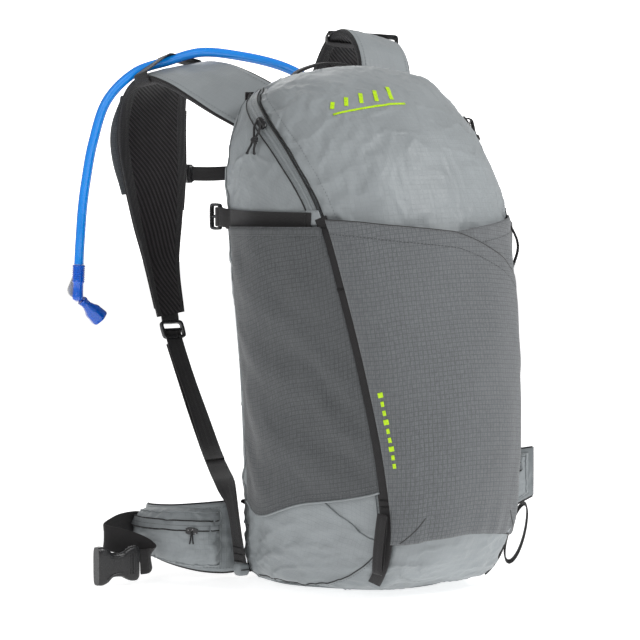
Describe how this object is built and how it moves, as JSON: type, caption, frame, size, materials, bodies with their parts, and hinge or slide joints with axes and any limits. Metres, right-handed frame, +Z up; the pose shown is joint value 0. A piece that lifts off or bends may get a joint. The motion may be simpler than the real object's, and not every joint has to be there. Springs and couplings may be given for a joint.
{
  "type": "hydration pack",
  "caption": "Small daypack for drinking on the move: zipped bag with stretch pockets, padded harness, hip belt, water reservoir, hose and bite valve",
  "frame": {"origin": "on the plane that the pack stands on, at the middle of the bag's width, in the plane of the bag's back wall", "axes": "+Z up, +Y towards the wearer, -Y towards the front pocket, +X towards the right of the front view"},
  "size_m": [0.5182, 0.4536, 0.5574],
  "materials": {
    "shell_fabric": "light grey coated ripstop nylon with a satin face",
    "stretch_pocket": "mid grey stretch ripstop with a small square grid",
    "spacer_mesh": "black spacer mesh with diagonal ribs",
    "strap_fabric": "light grey nylon face over foam, black mesh and binding inside",
    "webbing": "black woven polyester webbing",
    "buckle_plastic": "black acetal, slightly glossy",
    "zip_tape": "grey water-resistant coated zip tape",
    "zip_hardware": "black enamelled sliders with black cord pulls",
    "tube_blue": "translucent bright blue flexible hose",
    "bite_rubber": "deep blue silicone",
    "lever_grey": "light grey moulded plastic",
    "reservoir_film": "pale blue translucent film",
    "reservoir_cap": "blue moulded plastic",
    "liner_fabric": "plain grey lining taffeta",
    "frame_board": "black polyethylene sheet"
  },
  "bodies": {
    "pack": {"main_shell": "shell_fabric", "front_pocket": "stretch_pocket", "side_pocket_left": "stretch_pocket", "side_pocket_right": "stretch_pocket", "back_panel": "spacer_mesh", "frame_sheet": "frame_board", "reservoir_sleeve": "liner_fabric", "reservoir": "reservoir_film", "quick_link": "reservoir_cap", "hose_port": "buckle_plastic", "supply_tube": "tube_blue", "zip_track_left": "zip_tape", "zip_track_right": "zip_tape", "compression_strap_left": "webbing", "compression_strap_right": "webbing", "front_strap_left": "webbing", "front_strap_right": "webbing", "harness_yoke": "spacer_mesh", "lower_anchor_left": "webbing", "lower_anchor_right": "webbing", "lumbar_pad": "spacer_mesh"},
    "flap": {"top_flap": "shell_fabric"},
    "zip_slider_left_body": {"zip_slider_left": "zip_hardware"},
    "zip_slider_right_body": {"zip_slider_right": "zip_hardware"},
    "zip_pull_left_body": {"zip_pull_left": "zip_hardware"},
    "zip_pull_right_body": {"zip_pull_right": "zip_hardware"},
    "compression_lock_left_body": {"compression_lock_left": "buckle_plastic"},
    "compression_lock_right_body": {"compression_lock_right": "buckle_plastic"},
    "haul_loop_body": {"haul_loop": "webbing"},
    "pole_loop_left_body": {"pole_loop_left": "webbing"},
    "pole_loop_right_body": {"pole_loop_right": "webbing"},
    "reservoir_cap_body": {"reservoir_cap": "reservoir_cap"},
    "quick_link_button_body": {"quick_link_button": "lever_grey"},
    "strap_left": {"shoulder_strap_left": "strap_fabric", "strap_pocket_left": "strap_fabric", "tube_keeper": "webbing", "strap_webbing_left": "webbing", "drinking_tube": "tube_blue"},
    "strap_right": {"shoulder_strap_right": "strap_fabric", "strap_webbing_right": "webbing"},
    "sternum_clip_left_body": {"sternum_clip_left": "buckle_plastic"},
    "sternum_clip_right_body": {"sternum_clip_right": "buckle_plastic"},
    "sternum_strap": {"sternum_webbing_left": "webbing", "sternum_buckle": "buckle_plastic", "sternum_webbing_right": "webbing"},
    "strap_lock_left_body": {"strap_lock_left": "buckle_plastic"},
    "strap_lock_right_body": {"strap_lock_right": "buckle_plastic"},
    "valve_barrel_body": {"valve_barrel": "tube_blue"},
    "shutoff_lever_body": {"shutoff_lever": "lever_grey"},
    "bite_valve_body": {"bite_valve": "bite_rubber"},
    "wing_left": {"hip_wing_left": "strap_fabric", "hip_pocket_left": "strap_fabric", "belt_webbing_left": "webbing"},
    "wing_right": {"hip_wing_right": "strap_fabric", "hip_pocket_right": "strap_fabric", "belt_webbing_right": "webbing"},
    "hip_slider_left_body": {"hip_slider_left": "zip_hardware"},
    "hip_slider_right_body": {"hip_slider_right": "zip_hardware"},
    "buckle_female_body": {"buckle_female": "buckle_plastic"},
    "buckle_male_body": {"buckle_male": "buckle_plastic"}
  },
  "joints": [
    {"name": "flap_hinge", "type": "hinge", "parent": "pack", "child": "flap", "pos_m": [0, -0.192, 0.372], "axis": [1, 0, 0], "range_deg": [0, 110]},
    {"name": "zip_slide_left", "type": "slide", "parent": "pack", "child": "zip_slider_left_body", "axis": [-0.0051, -0.7599, -0.6501], "range_m": [0, 0.04]},
    {"name": "zip_pull_swing_left", "type": "hinge", "parent": "zip_slider_left_body", "child": "zip_pull_left_body", "pos_m": [-0.12677, -0.06173, 0.46182], "axis": [-0.3822, 0.923, 0.0438], "range_deg": [0, 100]},
    {"name": "compression_lock_tilt_left", "type": "hinge", "parent": "pack", "child": "compression_lock_left_body", "pos_m": [-0.1335, 0, 0.366], "axis": [0, 0, 1], "range_deg": [0, 40]},
    {"name": "pole_loop_tilt_left", "type": "hinge", "parent": "pack", "child": "pole_loop_left_body", "pos_m": [-0.07821, -0.2085, 0.08751], "axis": [-0.5226, 0.8297, 0.1961], "range_deg": [0, 60]},
    {"name": "zip_slide_right", "type": "slide", "parent": "pack", "child": "zip_slider_right_body", "axis": [0.0051, -0.7599, -0.6501], "range_m": [0, 0.04]},
    {"name": "zip_pull_swing_right", "type": "hinge", "parent": "zip_slider_right_body", "child": "zip_pull_right_body", "pos_m": [0.12677, -0.06173, 0.46182], "axis": [-0.3822, -0.923, -0.0438], "range_deg": [0, 100]},
    {"name": "compression_lock_tilt_right", "type": "hinge", "parent": "pack", "child": "compression_lock_right_body", "pos_m": [0.1335, 0, 0.366], "axis": [0, 0, -1], "range_deg": [0, 40]},
    {"name": "pole_loop_tilt_right", "type": "hinge", "parent": "pack", "child": "pole_loop_right_body", "pos_m": [0.07821, -0.2085, 0.08751], "axis": [-0.5226, -0.8297, -0.1961], "range_deg": [0, 60]},
    {"name": "haul_loop_tilt", "type": "hinge", "parent": "pack", "child": "haul_loop_body", "pos_m": [0, 0.005, 0.492], "axis": [1, 0, 0], "range_deg": [0, 25]},
    {"name": "reservoir_cap_turn", "type": "hinge", "parent": "pack", "child": "reservoir_cap_body", "pos_m": [0, -0.0359, 0.25], "axis": [0, 1, 0], "range_deg": [0, 90]},
    {"name": "quick_link_press", "type": "slide", "parent": "pack", "child": "quick_link_button_body", "axis": [0, 1, 0], "range_m": [0, 0.0012], "stiffness_N_per_m": 400},
    {"name": "strap_swing_left", "type": "hinge", "parent": "pack", "child": "strap_left", "pos_m": [-0.062, 0.014, 0.475], "axis": [0.117, 0.0423, 0.9922], "range_deg": [-6, 6], "deforming": ["drinking_tube"]},
    {"name": "strap_swing_right", "type": "hinge", "parent": "pack", "child": "strap_right", "pos_m": [0.062, 0.014, 0.475], "axis": [-0.117, 0.0423, 0.9922], "range_deg": [-6, 6]},
    {"name": "sternum_slide_left", "type": "slide", "parent": "strap_left", "child": "sternum_clip_left_body", "axis": [0, 0, 1], "range_m": [-0.015, 0.015]},
    {"name": "sternum_slide_right", "type": "slide", "parent": "strap_right", "child": "sternum_clip_right_body", "axis": [0, 0, 1], "range_m": [-0.015, 0.015]},
    {"name": "sternum_swing", "type": "hinge", "parent": "sternum_clip_left_body", "child": "sternum_strap", "pos_m": [-0.058, 0.186, 0.404], "axis": [0.117, 0.0423, 0.9922], "range_deg": [-6, 6]},
    {"name": "strap_lock_tilt_left", "type": "hinge", "parent": "strap_left", "child": "strap_lock_left_body", "pos_m": [-0.0882, 0.18179, 0.25077], "axis": [1, 0, 0], "range_deg": [0, 35]},
    {"name": "strap_lock_tilt_right", "type": "hinge", "parent": "strap_right", "child": "strap_lock_right_body", "pos_m": [0.0882, 0.18179, 0.25077], "axis": [1, 0, 0], "range_deg": [0, 35]},
    {"name": "barrel_swivel", "type": "hinge", "parent": "strap_left", "child": "valve_barrel_body", "pos_m": [-0.19751, 0.18, 0.3117], "axis": [-0.0499, 0, -0.9988], "continuous": true},
    {"name": "shutoff_turn", "type": "hinge", "parent": "valve_barrel_body", "child": "shutoff_lever_body", "pos_m": [-0.19838, 0.18698, 0.28511], "axis": [-0.0661, -0.9978, 0.0033], "range_deg": [0, 90]},
    {"name": "bite_valve_turn", "type": "hinge", "parent": "valve_barrel_body", "child": "bite_valve_body", "pos_m": [-0.1946, 0.17968, 0.27479], "axis": [0.7211, -0.0501, -0.691], "continuous": true},
    {"name": "wing_fold_left", "type": "hinge", "parent": "pack", "child": "wing_left", "pos_m": [-0.107, 0.018, 0.041], "axis": [0, 0, -1], "range_deg": [-14, 40]},
    {"name": "wing_fold_right", "type": "hinge", "parent": "pack", "child": "wing_right", "pos_m": [0.107, 0.018, 0.041], "axis": [0, 0, 1], "range_deg": [-10, 60]},
    {"name": "hip_zip_slide_left", "type": "slide", "parent": "wing_left", "child": "hip_slider_left_body", "axis": [-0.8259, 0.5591, 0.0726], "range_m": [0, 0.012]},
    {"name": "hip_zip_slide_right", "type": "slide", "parent": "wing_right", "child": "hip_slider_right_body", "axis": [0.914, -0.2166, 0.3432], "range_m": [0, 0.02]},
    {"name": "female_buckle_turn", "type": "hinge", "parent": "wing_left", "child": "buckle_female_body", "pos_m": [-0.2155, 0.027, 0.022], "axis": [0, 0, 1], "range_deg": [-30, 30]},
    {"name": "male_buckle_tilt", "type": "hinge", "parent": "wing_right", "child": "buckle_male_body", "pos_m": [0.22, 0.034, 0.043], "axis": [0.76, -0.65, 0], "range_deg": [-25, 25]}
  ],
  "couplings": [
    {"joint": "strap_swing_right", "follows": "strap_swing_left", "ratio": 1},
    {"joint": "sternum_swing", "follows": "strap_swing_left", "ratio": -1},
    {"joint": "sternum_slide_right", "follows": "sternum_slide_left", "ratio": 1}
  ]
}
